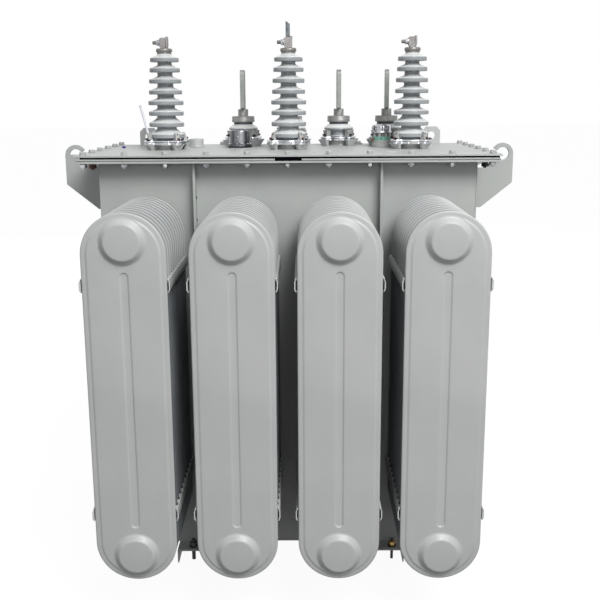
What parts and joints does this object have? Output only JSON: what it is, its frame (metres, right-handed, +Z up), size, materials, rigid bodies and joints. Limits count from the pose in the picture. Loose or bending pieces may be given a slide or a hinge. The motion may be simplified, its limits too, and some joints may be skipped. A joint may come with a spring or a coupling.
{
  "type": "power transformer",
  "caption": "Oil-filled power transformer: rectangular tank with bolted cover, plate radiators on both long sides, tall and short porcelain bushings, lifting hooks and channel base.",
  "frame": {"origin": "on the ground under the middle of the tank, midway between the base channels", "axes": "+Z up; +X along the rows of radiators and bushings, to the right as seen in the picture; -Y towards the viewer, the side with the front radiators"},
  "size_m": [2.04, 1.994, 2.3852],
  "materials": {
    "tank_paint": "satin grey paint",
    "radiator_paint": "satin grey paint",
    "cover_paint": "satin grey paint",
    "gasket_rubber": "matte black",
    "porcelain": "glossy pale grey glaze",
    "cast_aluminium": "bright cast and machined",
    "tinned_metal": "dull tinned",
    "valve_body": "satin grey with a teal band"
  },
  "bodies": {
    "root": {"base_channel_left": "tank_paint", "base_channel_right": "tank_paint", "tank_floor": "tank_paint", "tank_left_wall": "tank_paint", "tank_right_wall": "tank_paint", "tank_front_wall": "tank_paint", "tank_back_wall": "tank_paint", "tank_rim_front": "tank_paint", "tank_rim_back": "tank_paint", "tank_rim_left": "tank_paint", "tank_rim_right": "tank_paint", "cover_gasket": "gasket_rubber", "tank_cover": "cover_paint", "lifting_hook_left": "tank_paint", "lifting_hook_right": "tank_paint", "cover_lug_left": "cover_paint", "cover_lug_right": "cover_paint", "radiator_front_1": "radiator_paint", "radiator_front_2": "radiator_paint", "radiator_front_3": "radiator_paint", "radiator_front_4": "radiator_paint", "radiator_back_1": "radiator_paint", "radiator_back_2": "radiator_paint", "radiator_back_3": "radiator_paint", "radiator_back_4": "radiator_paint", "hv_bushing_1": "porcelain", "hv_bushing_2": "porcelain", "hv_bushing_3": "porcelain", "hv_clamp_ring_1": "cast_aluminium", "hv_clamp_ring_2": "cast_aluminium", "hv_clamp_ring_3": "cast_aluminium", "hv_terminal_1": "tinned_metal", "hv_terminal_2": "tinned_metal", "hv_terminal_3": "tinned_metal", "lv_bushing_1": "porcelain", "lv_bushing_2": "porcelain", "lv_bushing_3": "porcelain", "lv_bushing_4": "porcelain", "lv_clamp_ring_1": "cast_aluminium", "lv_clamp_ring_2": "cast_aluminium", "lv_clamp_ring_3": "cast_aluminium", "lv_clamp_ring_4": "cast_aluminium", "lv_terminal_1": "tinned_metal", "lv_terminal_2": "tinned_metal", "lv_terminal_3": "tinned_metal", "lv_terminal_4": "tinned_metal", "tap_changer_cap": "cast_aluminium", "pressure_relief_valve": "valve_body", "filler_neck": "cover_paint"}
  },
  "joints": []
}
